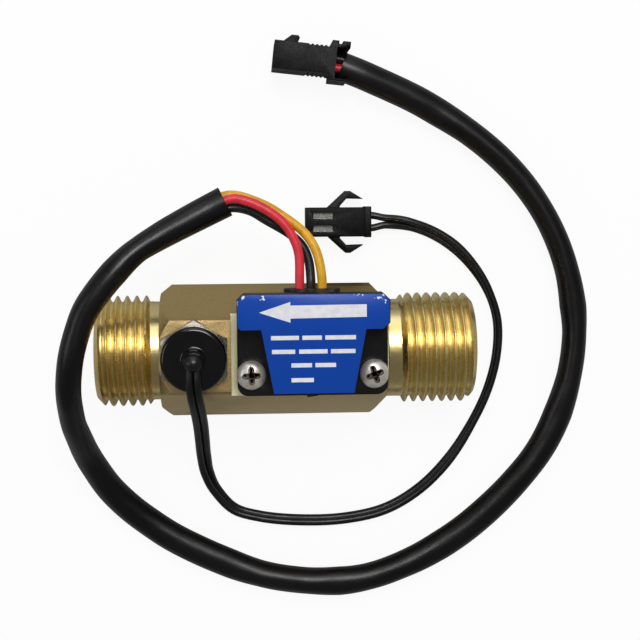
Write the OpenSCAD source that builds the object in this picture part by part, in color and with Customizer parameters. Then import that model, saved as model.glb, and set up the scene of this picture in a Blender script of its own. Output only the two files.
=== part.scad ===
// Inline water flow sensor with a temperature probe, lying on the back flat of its hexagon.
// Water runs through the bore towards -X, +Z is the side that carries the housing and the probe.

/* [Brass body] */
// Size across the flats of the hexagon
hex_af = 22; // [21.5:0.1:24]
// Length of the hexagon
hex_len = 42.5; // [42:0.5:50]
// Radius of the turned edges of the hexagon
hex_corner_r = 12.5; // [12.2:0.05:12.6]
// Chamfer where the hexagon ends towards the outlet
outlet_chamfer = 1.6; // [0.5:0.1:2]
// Chamfer where the hexagon ends towards the inlet
inlet_chamfer = 3; // [0.5:0.1:3]
// Outside diameter of the pipe threads
thread_d = 20.955; // [20.5:0.005:21.3]
// Pitch of the pipe threads
thread_pitch = 1.814; // [1.5:0.001:2.2]
// Number of thread crests on the outlet
outlet_crests = 5; // [3:1:8]
// Number of thread crests on the inlet
inlet_crests = 7; // [3:1:10]
// Distance from an end face to the first crest
thread_lead = 2.4; // [1.5:0.1:4]
// Plain neck between the outlet thread and the hexagon
outlet_neck = 1.6; // [0.8:0.1:4]
// Plain neck between the inlet thread and the hexagon
inlet_neck = 2.4; // [0.8:0.1:4]
// Diameter of the rotor chamber
chamber_d = 13.6; // [13.2:0.1:13.8]
// Diameter of the inlet mouth
inlet_mouth_d = 14.8; // [14.4:0.1:15.4]
// Diameter of the outlet bore
outlet_bore_d = 11.6; // [11:0.1:12.2]
// Diameter of the outlet mouth
outlet_mouth_d = 12.6; // [12.4:0.1:14]
// Depth of the milled cut over the front flat
front_cut = 0.4; // [0.2:0.05:0.6]
// Depth of the seat for the housing, below the hexagon's face
seat_depth = 2.2; // [2:0.05:2.3]
// Length of the seat, from the hexagon's inlet end
seat_len = 29.4; // [29.2:0.1:30]

/* [Flow cartridge] */
// Length of the rotor's hub
rotor_len = 11; // [9:0.5:12]
// Number of helical vanes
vane_count = 5; // [3:1:6]
// Turn of each vane along the hub, in degrees
vane_twist = 75; // [40:5:90]
// Thickness of a vane
vane_t = 0.9; // [0.7:0.05:1.1]
// Diameter of the rotor's hub
hub_d = 6.6; // [6.2:0.1:7]
// Gap between the vane tips and the chamber
tip_gap = 0.4; // [0.3:0.05:0.6]
// Diameter of the steel shaft
shaft_d = 1.5; // [1.2:0.1:1.8]
// Radial clearance of the running fit on the shaft
run_fit = 0.05; // [0.03:0.01:0.08]
// End play at each end of the rotor
end_play = 0.3; // [0.2:0.05:0.5]
// Length of the inlet straightener
inlet_spider_len = 5; // [4:0.5:6]
// Length of the outlet bearing carrier
outlet_spider_len = 4; // [3.5:0.5:5]
// Number of spokes in each carrier
spoke_count = 4; // [3:1:6]
// Thickness of the retaining ring
ring_t = 1; // [0.8:0.1:1.2]

/* [Sensor housing] */
// Length of the housing along the pipe
housing_len = 27.5; // [27:0.1:28]
// Gap between the end of the seat and the housing
housing_gap = 1.2; // [1:0.1:1.6]
// Distance the housing reaches above the axis
housing_top = 11.7; // [11.5:0.1:12.1]
// Distance the housing reaches below the axis
housing_bottom = 6.3; // [6.1:0.1:6.5]
// Thickness of the screwed ears
ear_t = 3.8; // [3.6:0.1:4.2]
// Height of the raised block over the ears
block_h = 4.4; // [4:0.1:5]
// Width of the bar that crosses the top of the block
bar_w = 6.5; // [5.5:0.1:7]
// Wall over the electronics
roof_t = 1.6; // [1.2:0.1:2]
// Distance of each screw from the end of the housing
screw_inset = 2.55; // [2.45:0.05:2.65]
// Distance of the screws below the axis
screw_drop = 3.3; // [3.2:0.05:3.5]
// Diameter of the screw heads
screw_head_d = 5.4; // [5:0.1:5.6]
// Diameter of the screw shanks
screw_d = 2.4; // [2:0.1:2.4]
// Thickness of the printed label
label_t = 0.15; // [0.1:0.05:0.3]

/* [Probe] */
// Distance of the probe from the outlet end of the hexagon
probe_inset = 6.5; // [6.3:0.1:7]
// Size across the flats of the probe's nut
nut_af = 12; // [11.5:0.1:12.2]
// Height of the nut's hexagon
nut_h = 3.6; // [3:0.1:4.5]
// Height of the round rim on the nut
rim_h = 1.1; // [0.8:0.1:1.5]
// Diameter of the nut's shank
shank_d = 8; // [7.6:0.1:8.4]
// Length of the nut's shank
shank_len = 4.2; // [3.5:0.1:4.6]
// Diameter of the metal sheath in the water
sheath_d = 3.8; // [3.4:0.1:4.2]

/* [Cables] */
// Diameter of each single wire
wire_d = 1.7; // [1.5:0.1:1.8]
// Diameter of the black sleeve
sleeve_d = 5.7; // [5.4:0.1:5.8]
// Width of the probe's flat cable
flat_cable_w = 2.9; // [2.7:0.1:3.1]
// Thickness of the probe's flat cable
flat_cable_t = 1.45; // [1.3:0.05:1.5]

/* [Connectors] */
// Distance between the contacts of a connector
contact_pitch = 2.5; // [2.4:0.05:2.6]
// Length of the three-way connector
con3_len = 14.4; // [14:0.1:15]
// Thickness of the three-way connector
con3_t = 5.3; // [5.1:0.1:5.6]
// Width of the three-way connector
con3_w = 9.6; // [9.2:0.1:10]
// Length of the two-way connector
con2_len = 12.8; // [12.4:0.1:13.2]
// Width of the two-way connector
con2_w = 5.7; // [5.5:0.1:6]
// Thickness of the two-way connector
con2_t = 4.6; // [4.4:0.1:5]

/* [Hidden] */

fine = 96;
small = 32;
eps = 0.01;
fit = 0.05;

// Pipe axis and thread form
axis_z = hex_af / 2;
thread_r = thread_d / 2;
thread_depth = 0.64 * thread_pitch;
root_r = thread_r - thread_depth;
crest_w = thread_pitch / 6;
flank_w = thread_depth * tan(27.5);
ridge_half = crest_w / 2 + flank_w;
rim_r = root_r - 0.3;

// Stations along the pipe, with the origin at half its length
outlet_len = thread_lead + (outlet_crests - 1) * thread_pitch + ridge_half + outlet_neck;
inlet_len = thread_lead + (inlet_crests - 1) * thread_pitch + ridge_half + inlet_neck;
body_len = outlet_len + hex_len + inlet_len;
outlet_x = -body_len / 2;
inlet_x = body_len / 2;
hex_x0 = outlet_x + outlet_len;
hex_x1 = inlet_x - inlet_len;
seat_x = hex_x1 - seat_len;
seat_z = axis_z + hex_af / 2 - seat_depth;
front_z = axis_z + hex_af / 2 - front_cut;

// Housing and its electronics
housing_x0 = seat_x + housing_gap;
housing_x1 = housing_x0 + housing_len;
housing_x = (housing_x0 + housing_x1) / 2;
ear_z = seat_z + ear_t;
block_z = ear_z + block_h;
block_chamfer = 1.2;
ear_r = 2;
ear_y0 = -housing_bottom - 0.9;
ear_y1 = housing_top - 0.6;
leg_top_w = housing_len - 8.5;
leg_bottom_w = housing_len - 12.9;
cavity_x = 0.4 * housing_len;
cavity_y0 = -4.3;
cavity_y1 = 7.9;
board_step = 1;
board_t = 1;
board_z = seat_z + 3;
board_gap = 0.2;
potting_t = 1.2;
chip_size = [4.1, 3, 1.5];
chip_x = housing_x - cavity_x / 2 + board_gap + chip_size[0] / 2;
wires_x = housing_x - 0.186;
wire_pitch = 2.05;
wire_z = board_z - wire_d / 2 - fit;
tail_y = cavity_y1 - 2.6;
grommet_w = 9;
grommet_h = 2.6;
lip_w = 10.3;
lip_h = 3.3;
lip_t = 1.2;
screw_head_h = 1.9;
screw_grip = 1.4;
screw_tip_gap = 0.2;
right_screw_turn = 20;

// Flow cartridge
chamber_r = chamber_d / 2;
shoulder_inset = 14.5;
shoulder_x = hex_x0 + shoulder_inset;
spider_wall = 1;
spider_hub_r = 2;
nose_len = 1.8;
shaft_grip = 2;
hub_r = hub_d / 2;
outlet_hub_x = shoulder_x + outlet_spider_len + 0.5;
rotor_x0 = outlet_hub_x + end_play;
rotor_x1 = rotor_x0 + rotor_len;
rotor_x = (rotor_x0 + rotor_x1) / 2;
inlet_hub_x = rotor_x1 + end_play;
inlet_spider_x = inlet_hub_x + 0.5;
ring_x = inlet_spider_x + inlet_spider_len;
groove_depth = 0.8;
chamber_x1 = ring_x + ring_t + 1;
magnet_d = 2.2;
magnet_t = 1.4;
vane_r = chamber_r - tip_gap;
// The magnets lie in the hub half way between two vanes
magnet_turn = 54;

// Probe
probe_x = hex_x0 + probe_inset;
nut_z = front_z + nut_h;
rim_z = nut_z + rim_h;
rim_wall = 0.2;
cup_d = nut_af - 2 * rim_wall;
cup_depth = 1.6;
o_ring_t = 1;
sheath_wall = 0.3;
sheath_top = nut_z - cup_depth + rim_h + 0.4;
sheath_tip = axis_z;
boss_r = 2.3;
boss_z = rim_z + 2.9;
cable_exit = 1.6;

// Connectors, each placed by the middle of its mating face
con3_pos = [-1.7, 55.85, 0];
con3_turn = -6.2;
con3_wall = 0.8;
con3_cavity = 6.4;
con2_pos = [4.4, 23.95, 0];
pin_t = 0.64;
contact_t = 1.8;
contact_hollow = 1.2;
contact_x = 0.9;
contact_len = 8;
contact_mouth_len = 5;

// Routes of the cords, by hand, each with its last steps square to what it meets
exit_y = ear_y1 + lip_t;
out_y = exit_y + 1.5;
function wire_start(i) = [for (y = [exit_y, out_y]) [wires_x + i * wire_pitch, y, wire_z]];
red_route = concat(wire_start(-1), [[2.2, 18.8, 21.8], [0.9, 22.2, 21.7], [-0.9, 24.6, 21.6],
    [-3.6, 26.6, 21.5], [-6.8, 28.1, 21.5], [-10, 28.65, 21.4], [-11, 28.15, 21.4]]);
black_route = concat(wire_start(0), [[4.1, 17.2, 20.6], [3.1, 19.8, 19.4], [1, 21.9, 18.9],
    [-3.6, 24.7, 18.8], [-6.8, 26.4, 19.1], [-9.3, 27.25, 19.6], [-10.3, 26.75, 19.6]]);
yellow_route = concat(wire_start(1), [[5.9, 17.5, 21.6], [4.9, 20.2, 21], [3.1, 22.6, 20.2],
    [-0.8, 25.6, 19.4], [-4.4, 27.7, 19.3], [-10.4, 29.45, 19.6], [-11.4, 28.95, 19.6]]);
sleeve_start = [[-11, 28.15, 20.4], [-13.3, 27, 20.4], [-18.2, 24.5, 20.7], [-23.2, 21.8, 21.2],
    [-27.6, 19, 22], [-31.2, 15.5, 23], [-34.2, 11.9, 23.4], [-36.3, 8.8, 23.5], [-37.8, 5.1, 23.6],
    [-39.1, 0.4, 23.5], [-39.8, -4.3, 22.4], [-40, -7.1, 21], [-40, -10, 18.8], [-39.8, -13.2, 16.2],
    [-39.2, -16.2, 13.4], [-38.4, -19.6, 10.2], [-37.2, -22.7, 7.9], [-34.4, -27.9, 5],
    [-30.6, -32.2, 3.6], [-26.8, -35.4, 3], [-22.8, -38.2, 2.9], [-17.9, -40.9, 2.9],
    [-12.8, -43.3, 2.9], [-7.9, -45.3, 2.9], [-2.8, -46.8, 2.9], [2.6, -47.7, 2.9],
    [8, -48.1, 2.9], [13.1, -47.9, 2.9], [18.1, -46.9, 2.9], [23.2, -45.1, 2.9],
    [28.2, -42.8, 2.9], [35, -38.6, 2.9], [41.2, -33.5, 2.9], [46.4, -28.2, 2.9],
    [50.9, -22.5, 2.9], [53.9, -16.9, 2.9], [56.1, -10.8, 2.9], [57.5, -4.5, 2.9],
    [58, 2, 2.9], [57.5, 8.2, 2.9], [56.3, 14.2, 2.9], [54.2, 20.2, 2.9], [51.2, 26, 2.9],
    [47.2, 31.6, 2.9], [42.3, 36.7, 2.9], [36.7, 41.2, 3], [30.6, 45.1, 3.2], [25.9, 47.7, 3.6],
    [21.1, 49.9, 4.1], [18.3, 51.2, 4.4], [15.7, 52.8, 4.7]];
con3_dir = [cos(con3_turn), sin(con3_turn), 0];
con3_rear = con3_pos + con3_len * con3_dir + [0, 0, con3_w / 2];
sleeve_route = concat(sleeve_start, [con3_rear + 1.2 * con3_dir, con3_rear]);
probe_start = [[0, -cable_exit, 0], [0, -4, 0], [0.2, -6.5, -0.9], [0.6, -9.2, -3.3],
    [0.9, -12.8, -8.2], [1, -16.4, -13.2], [1.1, -20.6, -18.7], [1.6, -25, -23.7]];
probe_floor = [[-13.8, -29.2, 2], [-10.3, -33.2, 0.9], [-5, -34.9, 0.8], [3, -35.8, 0.8],
    [12, -35.6, 0.8], [20.2, -33.8, 0.8], [27.2, -29.7, 1], [33.1, -23.7, 1.3],
    [37.6, -16.7, 1.3], [40.8, -9.9, 1.3], [42.6, -2.8, 1.3], [42.7, 4.1, 1.3], [40.9, 9.9, 1.3],
    [37.9, 14.8, 1.2], [34, 18.9, 1], [29.4, 21.8, 1.3], [24.4, 23.5, 1.8]];
con2_rear = con2_pos + [con2_len, 0, con2_t / 2];
probe_route = concat([for (p = probe_start) [probe_x, 0, boss_z] + p], probe_floor,
    [con2_rear + [3, 0, 0], con2_rear]);

// Sweeps an oval with the given half axes along a route
function unit(v) = v / norm(v);
function tangent(p, i) = unit(p[min(i + 1, len(p) - 1)] - p[max(i - 1, 0)]);
function ring(p, i, half_w, half_h, sides) = let (t = tangent(p, i),
    s = unit(cross(t, [0, 0, 1])), u = cross(s, t))
    [for (k = [0:sides - 1]) let (a = 360 * (k + 0.5) / sides)
        p[i] + half_w * cos(a) * s + half_h * sin(a) * u];

module cord(p, half_w, half_h, sides) {
    n = len(p);
    points = [for (i = [0:n - 1]) each ring(p, i, half_w, half_h, sides)];
    walls = [for (i = [0:n - 2], k = [0:sides - 1]) let (j = (k + 1) % sides)
        [i * sides + k, i * sides + j, (i + 1) * sides + j, (i + 1) * sides + k]];
    first = [for (k = [sides - 1:-1:0]) k];
    last = [for (k = [0:sides - 1]) (n - 1) * sides + k];
    polyhedron(points, concat([first], walls, [last]), convexity = 10);
}

// Turns [radius, x] points about the pipe axis
module turned(points, facets = fine) {
    translate([0, 0, axis_z]) rotate([0, 90, 0]) rotate_extrude($fn = facets) polygon(points);
}

// A plain cylinder on the pipe axis between two stations
module on_axis(r, x0, x1, facets = fine) {
    translate([x0, 0, axis_z]) rotate([0, 90, 0]) cylinder(r = r, h = x1 - x0, $fn = facets);
}

// A slot with round ends, upright on the XY plane
module stadium(w, h, t) {
    for (side = [-1, 1]) translate([side * (w - h) / 2, 0, 0]) cylinder(d = h, h = t, $fn = small);
    translate([(h - w) / 2, -h / 2, 0]) cube([w - h, h, t]);
}

// A rectangle whose lower corners are round and upper corners are cut off
module ear_outline() {
    h = ear_y1 - ear_y0;
    translate([housing_x0, ear_y0]) difference() {
        union() {
            translate([ear_r, 0]) square([housing_len - 2 * ear_r, h]);
            translate([0, ear_r]) square([housing_len, h - ear_r]);
            for (x = [ear_r, housing_len - ear_r]) translate([x, ear_r]) circle(ear_r, $fn = small);
        }
        for (x = [0, housing_len]) translate([x, h]) rotate(45)
            square(block_chamfer * sqrt(2), center = true);
    }
}

// The T shape of the raised block and of the label on it
module block_outline(inset) {
    c = block_chamfer;
    x0 = housing_x0 + inset;
    x1 = housing_x1 - inset;
    y1 = housing_top - inset;
    y2 = housing_top - bar_w + inset;
    y0 = -housing_bottom + inset;
    top = leg_top_w / 2 - inset;
    bottom = leg_bottom_w / 2 - inset;
    polygon([[x0 + c, y1], [x0, y1 - c], [x0, y2 + c / 2], [x0 + c / 2, y2], [housing_x - top, y2],
        [housing_x - bottom, y0], [housing_x + bottom, y0], [housing_x + top, y2],
        [x1 - c, y2], [x1, y2 + c], [x1, y1 - c], [x1 - c, y1]]);
}

function ridge(x) = [[root_r, x - ridge_half], [thread_r, x - crest_w / 2],
    [thread_r, x + crest_w / 2], [root_r, x + ridge_half]];
function end_rim(x, side) = side < 0 ? [[0, x], [rim_r, x], [root_r, x + 0.4]]
    : [[root_r, x - 0.4], [rim_r, x], [0, x]];

module thread_blank() {
    outlet_ridges = [for (i = [0:outlet_crests - 1])
        each ridge(outlet_x + thread_lead + i * thread_pitch)];
    inlet_ridges = [for (i = [inlet_crests - 1:-1:0])
        each ridge(inlet_x - thread_lead - i * thread_pitch)];
    turned(concat(end_rim(outlet_x, -1), outlet_ridges, inlet_ridges, end_rim(inlet_x, 1)));
}

module hexagon_blank() {
    r = hex_corner_r;
    intersection() {
        translate([hex_x0, 0, axis_z]) rotate([0, 90, 0]) rotate([0, 0, 90])
            cylinder(d = hex_af / cos(30), h = hex_len, $fn = 6);
        turned([[0, hex_x0], [r - outlet_chamfer, hex_x0], [r, hex_x0 + 1.25 * outlet_chamfer],
            [r, hex_x1 - inlet_chamfer], [r - inlet_chamfer, hex_x1], [0, hex_x1]]);
    }
}

module screw_places() {
    for (x = [housing_x0 + screw_inset, housing_x1 - screw_inset]) translate([x, -screw_drop, 0])
        children();
}

module flow_passage() {
    m = 0.5;
    turned([[0, outlet_x - eps], [outlet_mouth_d / 2 + m, outlet_x - eps],
        [outlet_mouth_d / 2, outlet_x + m], [outlet_mouth_d / 2, hex_x0],
        [outlet_bore_d / 2, hex_x0], [outlet_bore_d / 2, shoulder_x],
        [chamber_r, shoulder_x], [chamber_r, chamber_x1], [inlet_mouth_d / 2, chamber_x1],
        [inlet_mouth_d / 2, inlet_x - m], [inlet_mouth_d / 2 + m, inlet_x + eps],
        [0, inlet_x + eps]]);
}

module body() {
    color([0.74, 0.62, 0.33]) difference() {
        union() {
            thread_blank();
            hexagon_blank();
        }
        flow_passage();
        on_axis(chamber_r + groove_depth, ring_x, ring_x + ring_t);
        translate([hex_x0 - eps, -hex_af, front_z]) cube([hex_len + 2 * eps, 2 * hex_af, hex_af]);
        translate([seat_x, -hex_af, seat_z]) cube([seat_len + eps, 2 * hex_af, hex_af]);
        translate([probe_x, 0, axis_z]) cylinder(d = shank_d + 2 * fit, h = hex_af, $fn = fine);
        translate([probe_x, 0, front_z - o_ring_t])
            cylinder(d = shank_d + 2 * o_ring_t + 2 * fit, h = hex_af, $fn = fine);
        screw_places() translate([0, 0, seat_z - screw_grip - screw_tip_gap])
            cylinder(d = screw_d + 2 * fit, h = hex_af, $fn = small);
    }
}

// A bearing carrier: an outer ring, spokes and a hub with a blind hole for the shaft
module spider(x0, length, hub_x0, hub_x1, nose, hole_x) {
    difference() {
        union() {
            difference() {
                on_axis(chamber_r - fit, x0, x0 + length);
                on_axis(chamber_r - fit - spider_wall, x0 - eps, x0 + length + eps);
            }
            turned([[0, hub_x0], [spider_hub_r, hub_x0], [spider_hub_r, hub_x1],
                [spider_hub_r * 0.75, hub_x1 + nose / 2], [0.5, hub_x1 + nose],
                [0, hub_x1 + nose]], small);
            for (i = [0:spoke_count - 1]) translate([x0, 0, axis_z])
                rotate([360 * (i + 0.5) / spoke_count, 0, 0])
                    translate([0.3, -0.4, spider_hub_r - 0.4])
                        cube([length - 0.6, 0.8, chamber_r - spider_hub_r - spider_wall / 2]);
        }
        on_axis(shaft_d / 2 + 0.02, min(hole_x, hub_x0), max(hole_x, hub_x0), small);
    }
}

module outlet_spider() {
    color([0.88, 0.88, 0.84]) spider(shoulder_x, outlet_spider_len, outlet_hub_x,
        shoulder_x, -nose_len, outlet_hub_x - shaft_grip - fit);
}

module inlet_spider() {
    color([0.88, 0.88, 0.84]) spider(inlet_spider_x, inlet_spider_len, inlet_hub_x,
        inlet_spider_x + inlet_spider_len, nose_len, inlet_hub_x + shaft_grip + fit);
}

module vane() {
    reach = vane_r - hub_r;
    intersection() {
        translate([rotor_x0 + 0.5, 0, axis_z]) rotate([0, 90, 0])
            linear_extrude(rotor_len - 1, twist = vane_twist, slices = 14)
                translate([hub_r - 0.5, -vane_t / 2]) square([reach + 0.5, vane_t]);
        on_axis(vane_r, rotor_x0, rotor_x1);
    }
}

module magnet_places() {
    for (side = [0, 180]) translate([rotor_x, 0, axis_z]) rotate([magnet_turn + side, 0, 0])
        translate([0, 0, hub_r - magnet_t]) children();
}

module rotor() {
    color([0.2, 0.24, 0.3]) difference() {
        union() {
            on_axis(hub_r, rotor_x0, rotor_x1, fine);
            for (i = [0:vane_count - 1]) translate([0, 0, axis_z])
                rotate([360 * i / vane_count, 0, 0]) translate([0, 0, -axis_z]) vane();
        }
        on_axis(shaft_d / 2 + run_fit, rotor_x0 - eps, rotor_x1 + eps, small);
        magnet_places() cylinder(d = magnet_d + 2 * fit, h = hub_r, $fn = small);
    }
}

module rotor_magnets() {
    color([0.3, 0.3, 0.32]) magnet_places()
        cylinder(d = magnet_d, h = magnet_t - 0.3, $fn = small);
}

module rotor_shaft() {
    color([0.75, 0.75, 0.77]) on_axis(shaft_d / 2, outlet_hub_x - shaft_grip,
        inlet_hub_x + shaft_grip, small);
}

module retaining_ring() {
    r = chamber_r + groove_depth - fit;
    color([0.7, 0.7, 0.72]) difference() {
        on_axis(r, ring_x, ring_x + ring_t - fit);
        on_axis(chamber_r - 0.7, ring_x - eps, ring_x + ring_t);
        translate([ring_x - eps, -1.2, axis_z - hex_af]) cube([ring_t + 1, 2.4, hex_af]);
    }
}

module wire_slot(grow) {
    translate([housing_x, cavity_y1 - eps, wire_z]) rotate([-90, 0, 0])
        stadium(grommet_w + grow, grommet_h + grow, ear_y1 - cavity_y1 + 2 * eps);
}

module cavity(inset, z0, z1) {
    translate([housing_x - cavity_x / 2 + inset, cavity_y0 + inset, z0])
        cube([cavity_x - 2 * inset, cavity_y1 - cavity_y0 - 2 * inset, z1 - z0]);
}

module hall_housing() {
    color([0.1, 0.1, 0.11]) difference() {
        union() {
            translate([0, 0, seat_z]) linear_extrude(ear_t) ear_outline();
            translate([0, 0, ear_z - eps]) linear_extrude(block_h + eps) block_outline(0);
        }
        cavity(0, seat_z - eps, board_z + board_t);
        cavity(board_step, board_z, block_z - roof_t);
        wire_slot(2 * fit);
        screw_places() translate([0, 0, seat_z - eps])
            cylinder(d = screw_d + 0.3, h = ear_t + 1, $fn = small);
    }
}

module potting_seal() {
    color([0.16, 0.15, 0.14]) cavity(fit, seat_z + fit, seat_z + potting_t);
}

module hall_board() {
    color([0.1, 0.4, 0.2]) cavity(board_gap, board_z, board_z + board_t);
}

module hall_chip() {
    color([0.12, 0.12, 0.13]) translate([chip_x, 0, board_z - chip_size[2] / 2])
        cube(chip_size, center = true);
}

module wire_places() {
    for (i = [-1:1]) translate([wires_x + i * wire_pitch, 0, wire_z]) rotate([-90, 0, 0])
        children();
}

module lead_tails() {
    color([0.5, 0.2, 0.2]) wire_places() translate([0, 0, tail_y])
        cylinder(d = wire_d, h = exit_y - tail_y, $fn = small);
}

module wire_grommet() {
    color([0.13, 0.13, 0.14]) difference() {
        union() {
            translate([housing_x, cavity_y1 + fit, wire_z]) rotate([-90, 0, 0])
                stadium(grommet_w, grommet_h, ear_y1 - cavity_y1);
            translate([housing_x, ear_y1, wire_z]) rotate([-90, 0, 0])
                stadium(lip_w, lip_h, lip_t);
        }
        wire_places() cylinder(d = wire_d + 2 * fit, h = 2 * exit_y, $fn = small);
    }
}

module label() {
    color([0.04, 0.25, 0.65]) translate([0, 0, block_z]) linear_extrude(label_t)
        block_outline(0.1);
}

// A pan-head screw with a cross recess
module screw(turn) {
    head_r = screw_head_d / 2;
    sphere_r = (head_r * head_r + screw_head_h * screw_head_h) / (2 * screw_head_h) + 0.6;
    difference() {
        union() {
            intersection() {
                cylinder(r = head_r, h = screw_head_h, $fn = fine);
                translate([0, 0, screw_head_h - sphere_r]) sphere(sphere_r, $fn = fine);
            }
            translate([0, 0, -ear_t - screw_grip])
                cylinder(d = screw_d, h = ear_t + screw_grip + eps, $fn = small);
        }
        rotate(turn) for (a = [0, 90]) rotate(a) translate([0, 0, screw_head_h])
            cube([0.62 * screw_head_d, 0.8, 2.4], center = true);
    }
}

module screw_left() {
    color([0.72, 0.7, 0.68]) translate([housing_x0 + screw_inset, -screw_drop, ear_z])
        screw(0);
}

module screw_right() {
    color([0.72, 0.7, 0.68]) translate([housing_x1 - screw_inset, -screw_drop, ear_z])
        screw(right_screw_turn);
}

module probe_nut() {
    point_r = nut_af / 2 / cos(30);
    color([0.78, 0.76, 0.72]) translate([probe_x, 0, 0]) difference() {
        union() {
            intersection() {
                translate([0, 0, front_z]) rotate([0, 0, 90])
                    cylinder(r = point_r, h = nut_h, $fn = 6);
                translate([0, 0, front_z]) rotate_extrude($fn = fine)
                    polygon([[0, 0], [point_r, 0], [point_r, nut_h - 0.5], [nut_af / 2, nut_h],
                        [0, nut_h]]);
            }
            translate([0, 0, nut_z - eps]) cylinder(d = nut_af, h = rim_h + eps, $fn = fine);
            translate([0, 0, front_z - shank_len])
                cylinder(d = shank_d, h = shank_len + eps, $fn = fine);
        }
        translate([0, 0, rim_z - cup_depth]) cylinder(d = cup_d, h = cup_depth + 1, $fn = fine);
        cylinder(d = sheath_d + 2 * fit, h = rim_z, $fn = small);
    }
}

module probe_o_ring() {
    color([0.08, 0.08, 0.08]) translate([probe_x, 0, front_z - o_ring_t / 2])
        rotate_extrude($fn = fine) translate([(shank_d + o_ring_t) / 2 + fit, 0])
            circle(d = o_ring_t - fit, $fn = small);
}

module probe_sheath() {
    r = sheath_d / 2;
    color([0.8, 0.8, 0.8]) translate([probe_x, 0, 0]) difference() {
        union() {
            translate([0, 0, sheath_tip]) cylinder(r = r, h = sheath_top - sheath_tip, $fn = small);
            translate([0, 0, sheath_tip]) sphere(r, $fn = small);
        }
        translate([0, 0, sheath_tip]) cylinder(r = r - sheath_wall, h = hex_af, $fn = small);
    }
}

module probe_thermistor() {
    color([0.35, 0.16, 0.1]) translate([probe_x, 0, sheath_tip]) union() {
        cylinder(r = sheath_d / 2 - sheath_wall - fit, h = 3, $fn = small);
        for (side = [-1, 1]) translate([side * 0.7, 0, 0])
            cylinder(d = 0.6, h = sheath_top - sheath_tip, $fn = small);
    }
}

module probe_cap() {
    cup_r = cup_d / 2 - fit;
    z0 = rim_z - cup_depth;
    color([0.05, 0.05, 0.06]) translate([probe_x, 0, 0]) difference() {
        union() {
            translate([0, 0, z0]) rotate_extrude($fn = fine)
                polygon([[0, 0], [cup_r, 0], [cup_r, cup_depth + 0.2], [0.93 * cup_r, cup_depth + 0.8],
                    [0.75 * cup_r, cup_depth + 1.2], [0.4 * cup_r, cup_depth + 1.4],
                    [0, cup_depth + 1.4]]);
            translate([0, 0, rim_z]) cylinder(r = boss_r, h = boss_z - rim_z, $fn = small);
            translate([0, 0, boss_z]) sphere(boss_r, $fn = small);
        }
        translate([0, 0, z0 - eps]) cylinder(d = sheath_d + 2 * fit, h = sheath_top - z0 + 0.1,
            $fn = small);
        translate([-boss_r - 1, -cable_exit - boss_r, boss_z - flat_cable_t])
            cube([2 * boss_r + 2, boss_r, 2 * boss_r]);
    }
}

module red_wire() {
    color([0.82, 0.2, 0.28]) cord(red_route, wire_d / 2, wire_d / 2, 8);
}

module black_wire() {
    color([0.14, 0.14, 0.15]) cord(black_route, wire_d / 2, wire_d / 2, 8);
}

module yellow_wire() {
    color([0.8, 0.62, 0.06]) cord(yellow_route, wire_d / 2, wire_d / 2, 8);
}

module sleeve() {
    color([0.08, 0.06, 0.07]) cord(sleeve_route, sleeve_d / 2, sleeve_d / 2, 10);
}

module probe_cable() {
    color([0.1, 0.1, 0.11]) cord(probe_route, flat_cable_w / 2, flat_cable_t / 2, 8);
}

module contact_rows(count, width) {
    for (i = [0:count - 1]) translate([0, 0, width / 2 + (i - (count - 1) / 2) * contact_pitch])
        children();
}

// The three-way connector: x runs from its mating face to its rear, z across its contacts
module output_connector() {
    flange_x = 10.9;
    flange_t = con3_t + 2.2;
    color([0.11, 0.11, 0.12]) translate(con3_pos) rotate(con3_turn) difference() {
        union() {
            translate([0, -con3_t / 2, 0]) cube([flange_x + eps, con3_t, con3_w]);
            translate([flange_x, -flange_t / 2, 0]) cube([con3_len - flange_x, flange_t, con3_w]);
            translate([0, 0, con3_w / 2 - 1.6]) linear_extrude(3.2)
                polygon([[1.3, con3_t / 2 - eps], [3.2, 4.3], [4.5, 4.3], [4.8, 3.9],
                    [4.3, con3_t / 2 - eps]]);
        }
        translate([-eps, con3_wall - con3_t / 2, con3_wall])
            cube([con3_cavity, con3_t - 2 * con3_wall, con3_w - 2 * con3_wall]);
        for (i = [0:4]) for (side = [-1, 1]) translate([6.6 + 0.85 * i, side * con3_t / 2, -eps])
            translate([0, -0.2, 0]) cube([0.4, 0.4, con3_w + 1]);
        translate([12.2, -con3_t, -eps]) cube([0.7, con3_t / 2 - 1.4 - 0.8, con3_w + 1]);
        translate([12.2, con3_t / 2 + 0.5, -eps]) cube([0.7, con3_t, con3_w + 1]);
        contact_rows(3, con3_w) translate([con3_cavity - 1, -pin_t / 2 - fit, -pin_t / 2 - fit])
            cube([con3_len, pin_t + 2 * fit, pin_t + 2 * fit]);
    }
}

module output_pins() {
    color([0.8, 0.8, 0.8]) translate(con3_pos) rotate(con3_turn) contact_rows(3, con3_w)
        translate([1.6, -pin_t / 2, -pin_t / 2]) cube([con3_len - 2.2, pin_t, pin_t]);
}

// One barbed spring wing of the two-way connector, on the side away from its middle
module wing() {
    y = con2_w / 2;
    translate([0, 0, 0.6]) linear_extrude(con2_t - 1.2)
        polygon([[4.1, y - 0.2], [7.8, y + 3.2], [8.7, y + 3.2], [11.3, y + 1.6], [8, y + 1.7],
            [6.7, y + 0.3], [6.7, y - 0.2]]);
}

module contact_channels(size, x0, length) {
    for (side = [-1, 1]) translate([x0, side * contact_pitch / 2 - size / 2, (con2_t - size) / 2])
        cube([length, size, size]);
}

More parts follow.
